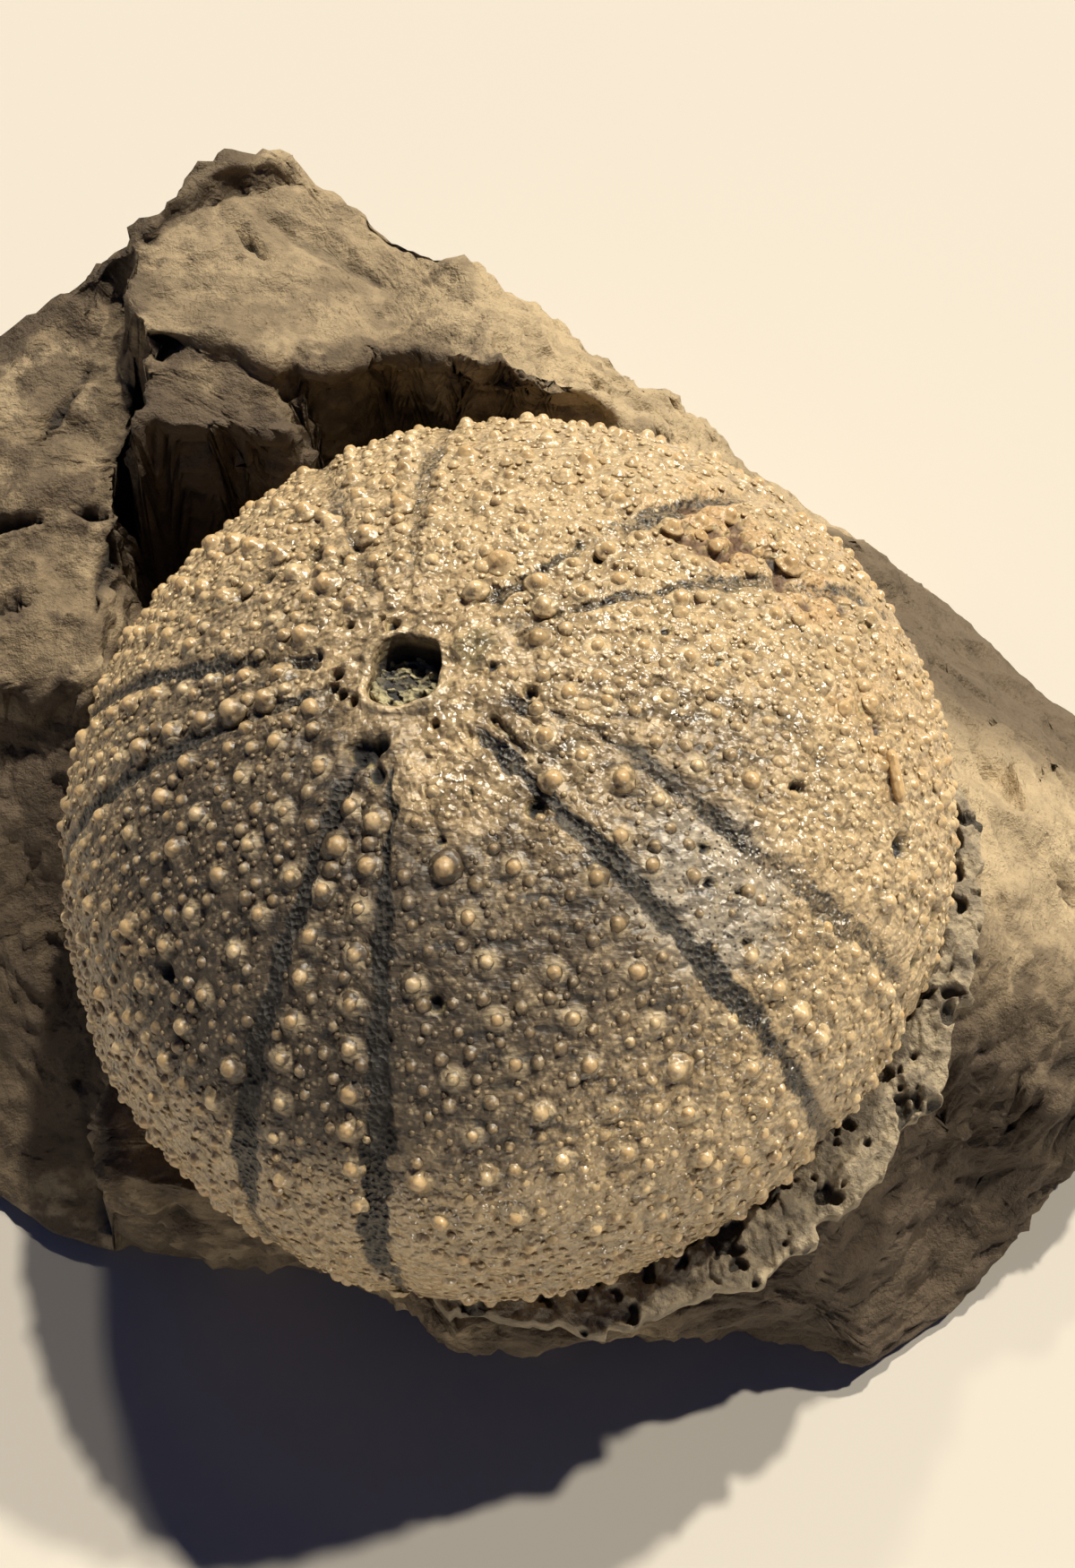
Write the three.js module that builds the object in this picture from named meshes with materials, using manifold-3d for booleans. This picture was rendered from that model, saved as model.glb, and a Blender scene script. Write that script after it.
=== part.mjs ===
// A fossil sea urchin seated in a broken block of the rock that held it.
// The urchin's shell (its test) is a low dome of five ambulacra and five interambulacra, with the
// vent hole open at its crown and set sediment in the hole. It leans to the left on a stepped block:
// a high slab with a cliff behind the test, two facets falling away on the right, a low floor on the
// left and a collar of matrix that grips the test's lower right side.
// Millimetres, +Z up. The block rests on its flat base at z = 0.
import * as THREE from "three";
import { mergeVertices } from "three/addons/utils/BufferGeometryUtils.js";
import Module from "manifold-3d";

const wasm = await Module();
wasm.setup();

// ---- driving dimensions ----
const testRadius = 31; // at the ambitus, the widest line of the test
const crownHeight = 22.6; // from the ambitus up to the crown
const underHeight = 14; // from the ambitus down to the mouth side
const underFullness = 2.4; // exponent of the under side's outline: 2 is an ellipse, more is squarer
const testHeightOnBlock = 27; // the ambitus' centre above the table, over the part's origin
const testLean = new THREE.Vector3(-0.233, -0.072, 1); // direction of the test's axis
const ventRadius = 2.7;
const ventDepth = 4.6;
const seatGap = 0.35; // between the test and the socket in the block
const fillRadius = ventRadius - 0.45;
const fillThickness = 2;

const ambulacra = [-108, -37, 31, 102, 175]; // centre of each ambulacrum, degrees round the axis
const poreBandOffset = 10.3; // degrees from the centre of an ambulacrum to each of its pore bands
const poreBandWidth = 2.6; // degrees
const furrowDepth = 0.35;
const testColumns = 60;
const testRows = 24;

// Top of the block: each facet passes through a point and falls, in millimetres per millimetre,
// towards +X and +Y.
const slab = { x: -22, y: 45, z: 36.5, fallX: -0.08, fallY: 0 };
const slabBackFacet = { x: -13, y: 46.3, z: 37, fallX: 0.24, fallY: 0.35 };
const leftBackFacet = { x: -27.8, y: 48, z: 36.5, fallX: -0.5, fallY: 0.5 };
const backFacet = { x: 33, y: 5, z: 26, fallX: 0.865, fallY: 0.52 };
const frontFacet = { x: 33, y: 5, z: 26, fallX: 0.96, fallY: -0.93 };
const leftShelf = { x: -33, y: 15, z: 25, fallX: 0, fallY: -0.22 };
const leftFloor = { x: -35, y: -10, z: 8.5, fallX: 0, fallY: -0.12 };
const slabEdge = [[-27, 39.5], [-17, 37], [-8, 40], [0, 38.3], [9, 39], [20, 40.5], [60, 47]];
const slabSide = -28; // the slab ends here on the left, and so does the recess round the test
const cliffRun = 6; // the cliff behind the test climbs over this distance
const shelfFront = 14.5; // where the left shelf drops to the left floor
const stepRun = 5;
const seatBehind = 18; // level of the rock between the test and the cliff
const seatInFront = 14.5;
const collar = { radius: 32.4, run: 5.5, from: -106, to: 22, fade: 12 }; // degrees round the test
const collarDrop = [[-100, 9], [-75, 7.5], [-45, 7.5], [-15, 5.5], [5, 4], [25, 5]]; // below the ambitus
const lowestRim = 2; // the top of the block never comes closer to the table than this

// Outlines of the block at the rim of its top and at its base, anticlockwise from the right.
const rim = [
  [50, 4], [51, 13], [46.8, 22], [44, 26], [36.9, 29.6], [33.3, 37], [28, 39.4], [19.2, 39.5], [12.4, 44.3],
  [6.2, 46.1], [-0.1, 45.6], [-5.7, 48.3], [-13, 56], [-18, 61], [-24, 63], [-28, 58], [-32, 50.6],
  [-39.4, 45.2], [-46, 38], [-50, 25], [-47, 8], [-43, -4], [-37.5, -14], [-31, -18.5], [-15, -22], [-7, -27],
  [-3, -30.5], [3, -32], [9, -31.5], [15.5, -29.3], [20.5, -28.2], [26, -28], [32.5, -23], [43, -13], [47.5, -5],
];
const base = [
  [53, 8], [50, 26], [38, 40], [20, 48], [0, 52], [-21, 66], [-34, 59], [-48, 44], [-54, 24], [-50, 4],
  [-38, -13.5], [-32, -17.5], [-24, -19.8], [-15, -20.5], [3, -24.5], [15, -24.7], [25.5, -27.2], [31.5, -24],
  [43.5, -12],
];
const blockMiddle = [0, 12]; // every point of both outlines can be seen from here
const edgeRounding = 1.5;
const roundingSpokes = 8;
const wallBulge = 1.2;
const blockColumns = 112;
const topRows = 25;
const wallRows = 3;

// ---- small helpers ----
const radians = THREE.MathUtils.degToRad;
const lerp = THREE.MathUtils.lerp;
const smooth = THREE.MathUtils.smoothstep; // smooth(value, low, high)

function alongLine(points, x) {
  const after = points.findIndex(([px]) => px >= x);
  if (after < 1) return after < 0 ? points[points.length - 1][1] : points[0][1];
  const [x0, y0] = points[after - 1];
  const [x1, y1] = points[after];
  return lerp(y0, y1, (x - x0) / (x1 - x0));
}

// How far an outline lies from the block's middle in a direction: the ray's cut with its straight edges.
function outlineDistance(outline, angle) {
  const dx = Math.cos(angle);
  const dy = Math.sin(angle);
  let far = 0;
  outline.forEach(([ax, ay], i) => {
    const [bx, by] = outline[(i + 1) % outline.length];
    const px = ax - blockMiddle[0];
    const py = ay - blockMiddle[1];
    const ex = bx - ax;
    const ey = by - ay;
    const cross = dx * ey - dy * ex;
    const alongRay = (px * ey - py * ex) / cross;
    const alongEdge = (px * dy - py * dx) / cross;
    if (alongRay > 0 && alongEdge >= 0 && alongEdge <= 1) far = Math.max(far, alongRay);
  });
  return far;
}

// Closed grid of rings: the first and last rings shrink to a point.
function ringSolid(rings, columns, place) {
  const positions = [];
  const index = [];
  positions.push(...place(0, 0));
  for (let row = 1; row < rings; row++)
    for (let column = 0; column < columns; column++) positions.push(...place(row, column));
  positions.push(...place(rings, 0));
  const last = positions.length / 3 - 1;
  const at = (row, column) => 1 + (row - 1) * columns + (column % columns);
  for (let column = 0; column < columns; column++) {
    index.push(0, at(1, column), at(1, column + 1));
    for (let row = 1; row < rings - 1; row++) {
      index.push(at(row, column), at(row + 1, column), at(row + 1, column + 1));
      index.push(at(row, column), at(row + 1, column + 1), at(row, column + 1));
    }
    index.push(at(rings - 1, column), last, at(rings - 1, column + 1));
  }
  return new THREE.BufferGeometry()
    .setAttribute("position", new THREE.BufferAttribute(new Float32Array(positions), 3))
    .setIndex(index);
}

function toSolid(geometry) {
  const bare = geometry.clone();
  bare.deleteAttribute("normal");
  bare.deleteAttribute("uv");
  const merged = mergeVertices(bare, 1e-4);
  return new wasm.Manifold(
    new wasm.Mesh({
      numProp: 3,
      vertProperties: merged.attributes.position.array,
      triVerts: new Uint32Array(merged.index.array),
    }),
  );
}

function toGeometry(solid) {
  const mesh = solid.getMesh();
  const geometry = new THREE.BufferGeometry()
    .setAttribute("position", new THREE.BufferAttribute(mesh.vertProperties, 3))
    .setIndex(new THREE.BufferAttribute(mesh.triVerts, 1));
  geometry.computeVertexNormals();
  return geometry;
}

// ---- the test, in its own frame: origin at the ambitus' centre, +Z along its axis ----

// The plan is slightly oval and slightly three-cornered.
function planFactor(angle) {
  return 1 - 0.0117 * Math.cos(2 * angle - radians(20)) + 0.0086 * Math.cos(3 * angle - radians(54));
}

// 1 on the pore bands that border each ambulacrum, 0 away from them.
function onPoreBand(angle) {
  const degrees = THREE.MathUtils.radToDeg(angle);
  const nearest = Math.min(
    ...ambulacra.map((centre) => {
      const away = Math.abs(((degrees - centre + 540) % 360) - 180);
      return Math.abs(away - poreBandOffset);
    }),
  );
  return Math.exp(-((nearest / poreBandWidth) ** 2));
}

function testPoint(polar, angle, grow) {
  const up = Math.cos(polar);
  const out = Math.sin(polar);
  const power = up >= 0 ? 1 : 2 / underFullness;
  const height = (up >= 0 ? crownHeight : underHeight) + grow;
  const furrow = grow > 0 ? 0 : furrowDepth * onPoreBand(angle) * smooth(out, 0.2, 0.45);
  const radius = (testRadius + grow - furrow) * planFactor(angle) * Math.abs(out) ** power;
  return [radius * Math.cos(angle), radius * Math.sin(angle), height * Math.sign(up) * Math.abs(up) ** power];
}

function testBody(grow) {
  return ringSolid(testRows, testColumns, (row, column) => {
    const share = row / testRows;
    return testPoint(Math.PI * share, (2 * Math.PI * column) / testColumns, grow);
  });
}

// The vent hole is a slightly flattened round pocket.
function ventPocket() {
  const pocket = new THREE.CylinderGeometry(ventRadius, ventRadius * 0.92, ventDepth * 2, 28);
  pocket.rotateX(Math.PI / 2);
  pocket.scale(0.95, 1.06, 1);
  pocket.translate(0, 0, crownHeight);
  return pocket;
}

// Set sediment in the vent: a low cake with a domed top.
function ventSediment() {
  const bottom = crownHeight - ventDepth + seatGap;
  const top = bottom + fillThickness;
  const profile = [
    [0, bottom],
    [fillRadius * 0.88, bottom],
    [fillRadius * 0.92, top - 0.5],
    [fillRadius * 0.7, top - 0.12],
    [fillRadius * 0.35, top],
    [0, top + 0.05],
  ].map(([r, z]) => new THREE.Vector2(r, z));
  const cake = new THREE.LatheGeometry(profile, 24);
  cake.rotateX(Math.PI / 2);
  return cake;
}

// ---- the block, in the table's frame: origin under the test's centre ----

const leanUnit = testLean.clone().normalize();
const ambitusHeight = (x, y) => testHeightOnBlock - (leanUnit.x * x + leanUnit.y * y) / leanUnit.z;

const planeHeight = (plane, x, y) => plane.z - plane.fallX * (x - plane.x) - plane.fallY * (y - plane.y);

// The ring of matrix that grips the test, a few millimetres under its ambitus.
function collarHeight(x, y) {
  const degrees = THREE.MathUtils.radToDeg(Math.atan2(y, x));
  const begins = smooth(degrees, collar.from, collar.from + collar.fade);
  const ends = 1 - smooth(degrees, collar.to - collar.fade, collar.to);
  const outside = smooth(Math.hypot(x, y), collar.radius - 0.5, collar.radius - 0.5 + collar.run);
  return (ambitusHeight(x, y) - alongLine(collarDrop, degrees)) * begins * ends * (1 - outside);
}

function topHeight(x, y) {
  const on = (facet) => planeHeight(facet, x, y);
  const right = Math.min(on(backFacet), on(frontFacet));
  const high = Math.min(on(slab), on(slabBackFacet), on(leftBackFacet), on(backFacet));
  const overShelf = smooth(y, shelfFront - stepRun / 2, shelfFront + stepRun / 2);
  const left = lerp(on(leftFloor), Math.min(on(leftShelf), on(leftBackFacet)), overShelf);
  const seat = lerp(Math.min(right, seatInFront), seatBehind, smooth(y, -6, 10));
  const behind = lerp(seat, high, smooth(y, alongLine(slabEdge, x) - cliffRun, alongLine(slabEdge, x)));
  const middle = lerp(left, behind, smooth(x, slabSide - stepRun / 2, slabSide + stepRun / 2));
  const height = lerp(middle, Math.max(right, Math.min(behind, on(backFacet))), smooth(x, 16, 24));
  return Math.max(lowestRim, height, collarHeight(x, y));
}

// Broken edges are a little rounded: each height is the mean over a small ring and its middle.
function roundedHeight(x, y) {
  let sum = topHeight(x, y);
  for (let spoke = 0; spoke < roundingSpokes; spoke++) {
    const angle = (2 * Math.PI * spoke) / roundingSpokes;
    sum += topHeight(x + edgeRounding * Math.cos(angle), y + edgeRounding * Math.sin(angle));
  }
  return sum / (roundingSpokes + 1);
}

// Rings run from the middle of the top out to the rim, down the wall and in to the middle of the base.
function blockBody() {
  const rings = topRows + wallRows + 2;
  const [mx, my] = blockMiddle;
  return ringSolid(rings, blockColumns, (row, column) => {
    const angle = (2 * Math.PI * column) / blockColumns;
    const dx = Math.cos(angle);
    const dy = Math.sin(angle);
    const edge = outlineDistance(rim, angle);
    if (row <= topRows) {
      const reach = edge * (row / topRows) ** 0.75; // rows lie closer together towards the rim
      return [mx + dx * reach, my + dy * reach, roundedHeight(mx + dx * reach, my + dy * reach)];
    }
    const down = Math.min(1, (row - topRows) / (wallRows + 1));
    const bulge = wallBulge * Math.sin(Math.PI * down);
    const reach = row === rings ? 0 : lerp(edge, outlineDistance(base, angle), down) + bulge;
    return [mx + dx * reach, my + dy * reach, roundedHeight(mx + dx * edge, my + dy * edge) * (1 - down)];
  });
}

// ---- materials ----
const calcite = new THREE.MeshStandardMaterial({ color: 0xb9a07c, roughness: 0.55, metalness: 0 });
const sediment = new THREE.MeshStandardMaterial({ color: 0x8d8672, roughness: 0.95, metalness: 0 });
const rock = new THREE.MeshStandardMaterial({ color: 0x6f5f47, roughness: 0.9, metalness: 0 });

// ---- assembly ----
const testFrame = new THREE.Group();
const sideways = new THREE.Vector3(1, 0, 0).addScaledVector(leanUnit, -leanUnit.x).normalize();
const testAxes = new THREE.Matrix4().makeBasis(
  sideways,
  new THREE.Vector3().crossVectors(leanUnit, sideways),
  leanUnit,
);
testFrame.quaternion.setFromRotationMatrix(testAxes);
testFrame.position.set(0, 0, testHeightOnBlock);
testFrame.updateMatrixWorld(true);

const test = new THREE.Mesh(toGeometry(toSolid(testBody(0)).subtract(toSolid(ventPocket()))), calcite);
test.name = "sea_urchin_test";
const fill = new THREE.Mesh(ventSediment(), sediment);
fill.name = "vent_sediment";
testFrame.add(test, fill);

const socket = toSolid(testBody(seatGap).applyMatrix4(testFrame.matrixWorld));
const block = new THREE.Mesh(toGeometry(toSolid(blockBody()).subtract(socket)), rock);
block.name = "matrix_rock";

const part = new THREE.Group();
part.add(testFrame, block);
export default part;
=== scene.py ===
import itertools
import bpy
import numpy as np
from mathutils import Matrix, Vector


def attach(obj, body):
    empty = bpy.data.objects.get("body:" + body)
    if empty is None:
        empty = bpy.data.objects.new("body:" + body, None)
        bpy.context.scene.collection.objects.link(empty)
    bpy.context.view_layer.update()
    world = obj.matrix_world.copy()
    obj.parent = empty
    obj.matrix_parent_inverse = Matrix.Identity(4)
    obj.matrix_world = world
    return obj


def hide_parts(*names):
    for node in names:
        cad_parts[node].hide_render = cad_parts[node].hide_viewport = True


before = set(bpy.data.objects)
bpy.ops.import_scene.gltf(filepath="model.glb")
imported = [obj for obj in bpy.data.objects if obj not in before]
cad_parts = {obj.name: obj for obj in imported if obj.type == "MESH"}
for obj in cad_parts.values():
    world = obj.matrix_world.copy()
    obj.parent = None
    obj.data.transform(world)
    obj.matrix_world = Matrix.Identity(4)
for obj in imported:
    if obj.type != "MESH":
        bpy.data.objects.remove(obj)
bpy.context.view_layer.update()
print("frame loaded:", sorted(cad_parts))

millimetre = 0.001  # shapes below are worked out in millimetres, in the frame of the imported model


def ease(low, high, value):
    # share of the way from low to high, held to 0..1 and eased at both ends
    share = np.clip((value - low) / (high - low), 0, 1)
    return share * share * (3 - 2 * share)


def fade(low, high, value):
    # the same the other way round: 1 below low, 0 above high
    return 1 - ease(low, high, value)


def bell(value, middle, width):
    # 1 at the middle, falling away to both sides
    return np.exp(-(((value - middle) / width) ** 2))


def facing(degrees, towards):
    # 1 on the side towards this direction, 0 on the far side
    return 0.5 + 0.5 * np.cos(np.radians(degrees - towards))


def blend(low, high, share):
    # straight mix: low where the share is 0, high where it is 1
    return low + (high - low) * share


def unit(vectors):
    # each vector over its own length
    return vectors / np.maximum(np.linalg.norm(vectors, axis=-1, keepdims=True), 1e-9)


def wrapDegrees(angle):
    # the same direction, between -180 and 180
    return (angle + 180) % 360 - 180


def fullTurn(count):
    # even steps round a full circle
    return 2 * np.pi * np.arange(count) / count


def rays(angle):
    # flat unit directions, cosine and sine
    return np.stack([np.cos(angle), np.sin(angle)], -1)


def latticeKey(spot, size):
    # one whole number for each cube of the lattice
    return (spot[..., 0] * 73856093 ^ spot[..., 1] * 19349663 ^ spot[..., 2] * 83492791) % size


def softNoise(points, cell, seed):
    # random numbers at the corners of a cubic lattice, eased between the eight corners; -1 to 1
    table = np.random.default_rng(seed).uniform(-1, 1, 8192)
    place = points / cell + 500.0
    corner = np.floor(place).astype(np.int64)
    share = place - corner
    share = share * share * (3 - 2 * share)
    total = np.zeros(points.shape[:-1])
    for step in itertools.product((0, 1), repeat=3):
        weight = np.where(step, share, 1 - share).prod(-1)
        total += weight * table[latticeKey(corner + step, 8192)]
    return total


def layeredNoise(points, cell, layers, seed, keep=0.5):
    # soft noise plus finer copies of itself, each with half the cell and a share of the strength
    return sum(softNoise(points, cell * 0.5**i, seed + i) * keep**i for i in range(layers))


def chipNoise(points, cell, seed):
    # one random point in each cube: distance to the nearest in cells, the gap to the next nearest,
    # the nearest one's number, and the height of the tilted facet that it carries
    table = np.random.default_rng(seed).uniform(0, 1, (8192, 7))
    place = points / cell + 500.0
    home = np.floor(place).astype(np.int64)
    nearest = np.full(points.shape[:-1], 9.0)
    second, number, facet = nearest.copy(), np.zeros_like(nearest), np.zeros_like(nearest)
    for step in itertools.product((-1, 0, 1), repeat=3):
        draw = table[latticeKey(home + step, 8192)]
        away = place - home - step - draw[..., :3]
        gap = np.linalg.norm(away, axis=-1)
        closer = gap < nearest
        second = np.where(closer, nearest, np.minimum(second, gap))
        number = np.where(closer, draw[..., 3], number)
        facet = np.where(closer, (away * (draw[..., 4:] * 2 - 1)).sum(-1), facet)
        nearest = np.where(closer, gap, nearest)
    return nearest, second - nearest, number, facet


def brokenNoise(points, cell, seed):
    # flat chips, each with a height and a slope of its own, with softened seams; about -1 to 1
    _, seam, number, facet = chipNoise(points, cell, seed)
    return (number - 0.5 + facet) * ease(0.0, 0.16, seam)


def ringFaces(rings, columns):
    # faces of a closed skin: first pole, then rings of vertices, then last pole
    column = np.arange(columns)
    after = (column + 1) % columns
    first = 1 + column
    last = 1 + (rings - 1) * columns
    row = 1 + np.arange(rings - 1)[:, None] * columns
    quads = np.stack([row + column, row + columns + column, row + columns + after, row + after], -1)
    topFan = np.stack([np.zeros_like(column), first, 1 + after], -1)
    lowFan = np.stack([last + column, np.full_like(column, last + columns), last + after], -1)
    return [quads.reshape(-1, 4), topFan, lowFan]


def closed(first, rings, last):
    # one list for ringFaces: the first pole, every ring, the last pole; for points or for a mark
    return np.concatenate([[first], rings.reshape(-1, *np.shape(first)), [last]])


def gridNormals(grid):
    # across the rows times along the columns, for a grid of rings that close on themselves
    down = np.gradient(grid, axis=0)
    along = np.roll(grid, -1, axis=1) - np.roll(grid, 1, axis=1)
    return unit(np.cross(down, along))


def makePiece(name, points, faceSets, finish, node, marks=None):
    # a mesh from points in millimetres and sets of faces, each an array of corner numbers
    mesh = bpy.data.meshes.new(name)
    mesh.vertices.add(len(points))
    mesh.vertices.foreach_set("co", (points * millimetre).astype(np.float32).ravel())
    sizes = np.concatenate([np.full(len(faces), faces.shape[1]) for faces in faceSets])
    corners = np.concatenate([faces.ravel() for faces in faceSets])
    mesh.loops.add(len(corners))
    mesh.loops.foreach_set("vertex_index", corners.astype(np.int32))
    mesh.polygons.add(len(sizes))
    mesh.polygons.foreach_set("loop_start", (np.cumsum(sizes) - sizes).astype(np.int32))
    mesh.polygons.foreach_set("loop_total", sizes.astype(np.int32))
    mesh.polygons.foreach_set("use_smooth", np.ones(len(sizes), bool))
    mesh.update(calc_edges=True)
    for mark, values in (marks or {}).items():
        layer = mesh.attributes.new(mark, "FLOAT", "POINT")
        layer.data.foreach_set("value", np.asarray(values, np.float32).ravel())
    mesh.materials.append(finish)
    piece = bpy.data.objects.new(name, mesh)
    bpy.context.scene.collection.objects.link(piece)
    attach(piece, "root")
    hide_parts(node)
    print("made", name, "with", int((sizes - 2).sum()), "triangles")
    return piece


class Value:
    # a node's output: arithmetic on it adds Math nodes
    def __init__(self, finish, socket):
        self.finish = finish
        self.socket = socket

    def __add__(self, other):
        return self.finish.maths("ADD", self, other)

    def __sub__(self, other):
        return self.finish.maths("SUBTRACT", self, other)

    def __rsub__(self, other):
        return self.finish.maths("SUBTRACT", other, self)

    def __mul__(self, other):
        return self.finish.maths("MULTIPLY", self, other)

    __radd__ = __add__
    __rmul__ = __mul__


class Finish:
    # a material; add makes any node from its type, its settings and the values or links of its sockets
    def __init__(self, name):
        self.material = bpy.data.materials.new(name)
        self.material.use_nodes = True
        self.tree = self.material.node_tree
        self.shader = self.tree.nodes["Principled BSDF"]
        self.place = self.add("TexCoord", output="Object")

    def add(self, kind, settings=None, inputs=None, output=0):
        node = self.tree.nodes.new("ShaderNode" + kind)
        for name, value in (settings or {}).items():
            setattr(node, name, value)
        for key, value in (inputs or {}).items():
            self.feed(node.inputs[key], value)
        return Value(self, node.outputs[output])

    def feed(self, socket, value):
        # a link from another node's output, or a plain number or colour
        if isinstance(value, Value):
            self.tree.links.new(value.socket, socket)
        else:
            socket.default_value = value

    def maths(self, operation, first, second):
        # one Math node on two numbers
        return self.add("Math", {"operation": operation}, {0: first, 1: second})

    def mark(self, name):
        # a number that the mesh carries at each vertex
        return self.add("Attribute", {"attribute_name": name}, output="Fac")

    def noise(self, size, detail=3.0, rough=0.55, place=None):
        # size is the width of a blotch in millimetres
        inputs = {"Vector": place or self.place, "Scale": 1 / (size * millimetre)}
        return self.add("TexNoise", inputs={**inputs, "Detail": detail, "Roughness": rough})

    def cells(self, size, output="Distance"):
        # distance to scattered points this many millimetres apart
        inputs = {"Vector": self.place, "Scale": 1 / (size * millimetre)}
        return self.add("TexVoronoi", inputs=inputs, output=output)

    def stretched(self, along, turn):
        # object coordinates turned and then scaled, for a pattern with a direction
        return self.add("Mapping", inputs={"Vector": self.place, "Rotation": turn, "Scale": along})

    def vector(self, operation, first, second, output="Vector"):
        # one Vector Math node
        return self.add("VectorMath", {"operation": operation}, {0: first, 1: second}, output)

    def facets(self, size, steepness):
        # flat crystal faces this many millimetres across, each tilted its own way; height in millimetres
        nearest = self.cells(size, output="Position")
        turn = Value(self, nearest.socket.node.outputs["Color"])
        away = self.vector("SUBTRACT", self.place, nearest)
        lean = self.vector("SUBTRACT", turn, (0.5, 0.5, 0.5))
        return self.vector("DOT_PRODUCT", away, lean, "Value") * (steepness / millimetre)

    def between(self, value, low, high):
        # 0 below low, 1 above high, eased between them
        inputs = {"Value": value, "From Min": low, "From Max": high}
        return self.add("MapRange", {"interpolation_type": "SMOOTHSTEP"}, inputs)

    def mix(self, share, low, high):
        # straight mix of two colours: low where the share is 0, high where it is 1
        settings = {"data_type": "RGBA", "clamp_factor": True}
        return self.add("Mix", settings, {0: share, 6: low, 7: high}, output=2)

    def layers(self, base, palette, coats):
        # coats laid over the base one by one: each the share that it covers and its colour's name
        for share, name in coats:
            base = self.mix(share, base, palette[name])
        return base

    def bump(self, height):
        # small relief; height is in millimetres
        return self.add("Bump", inputs={"Height": height, "Distance": millimetre}, output="Normal")

    def finished(self, sockets):
        # feeds the shader's sockets
        for name, value in sockets.items():
            self.feed(self.shader.inputs[name], value)
        return self.material


def colour(red, green, blue):
    # an opaque colour from its three shares
    return (red, green, blue, 1.0)


test = {
    "centre": np.array([0.0, 0.0, 27.0]),  # middle of the ambitus, the widest line
    "lean": np.array([-0.233, -0.072, 1.0]),  # direction of the axis
    "radius": 31.0,
    "crown": 22.6,  # height above the ambitus
    "under": 14.0,  # and below it
    "underFullness": 2.4,  # 2 is an ellipse, more is squarer
    "columns": 540,  # vertices round each ring
    "ventRadius": 2.5,
    "ventDepth": 3.4,
    "boss": 0.1,  # rise under each main knob
    "areole": 0.13,  # depth of the ring round it
}
leanAxis = unit(test["lean"])
sideAxis = unit(np.array([1.0, 0, 0]) - leanAxis * leanAxis[0])
awayAxis = np.cross(leanAxis, sideAxis)


def fromTestFrame(x, y, z):
    # the middle of the ambitus, plus x and y across the axis and z along it
    return test["centre"] + x[..., None] * sideAxis + y[..., None] * awayAxis + z[..., None] * leanAxis


def planFactor(angle):
    # slightly oval and slightly three-cornered plan
    return 1 - 0.0117 * np.cos(2 * angle - np.radians(20)) + 0.0086 * np.cos(3 * angle - np.radians(54))


def testPoints(polar, angle):
    # ellipse above the ambitus and a squarer superellipse below it, turned about the leaning axis
    up = np.cos(polar)
    power = np.where(up >= 0, 1, 2 / test["underFullness"])
    tall = np.where(up >= 0, test["crown"], test["under"])
    radius = test["radius"] * planFactor(angle) * np.abs(np.sin(polar)) ** power
    rise = tall * np.sign(up) * np.abs(up) ** power
    return fromTestFrame(radius * np.cos(angle), radius * np.sin(angle), rise)


def testNormals(polar, angle):
    # two small steps on the surface, crossed
    polar = np.clip(polar, 0.002, np.pi - 0.002)
    step = 1e-4
    here = testPoints(polar, angle)
    return unit(np.cross(testPoints(polar + step, angle) - here, testPoints(polar, angle + step) - here))


# length along a meridian for each angle from the crown
arcTable = {"polar": np.radians(np.linspace(0, 180, 1801))}
arcTable["length"] = np.concatenate([[0], np.cumsum(np.linalg.norm(
    np.diff(testPoints(arcTable["polar"], np.full(1801, -1.5)), axis=0), axis=-1))])


def polarAtArc(length):
    # angle from the crown at this length along a meridian
    return np.interp(length, arcTable["length"], arcTable["polar"])


def arcAtPolar(polar):
    # length along a meridian from the crown to this angle
    return np.interp(polar, arcTable["polar"], arcTable["length"])


bands = {
    "ambulacra": np.array([-108.0, -37.0, 31.0, 102.0, 175.0]),  # centres, degrees round the axis
    "offset": 10.3,  # from the centre of an ambulacrum to each of its two bands, degrees
    "strength": np.array([1.25, 1.0, 0.55, 0.5, 0.95]),
    "crownWidth": 0.48,  # half widths in millimetres
    "ambitusWidth": 0.82,
    "depth": 0.42,
    # degrees by which two bands leave their lines: one near the crown and lower down, one at the rim
    "wanders": (4.5, -3.0),
    "drawnIn": 4.2,
    "faint": 0.62,  # strength of the band that wanders, beside its pair
}

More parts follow.
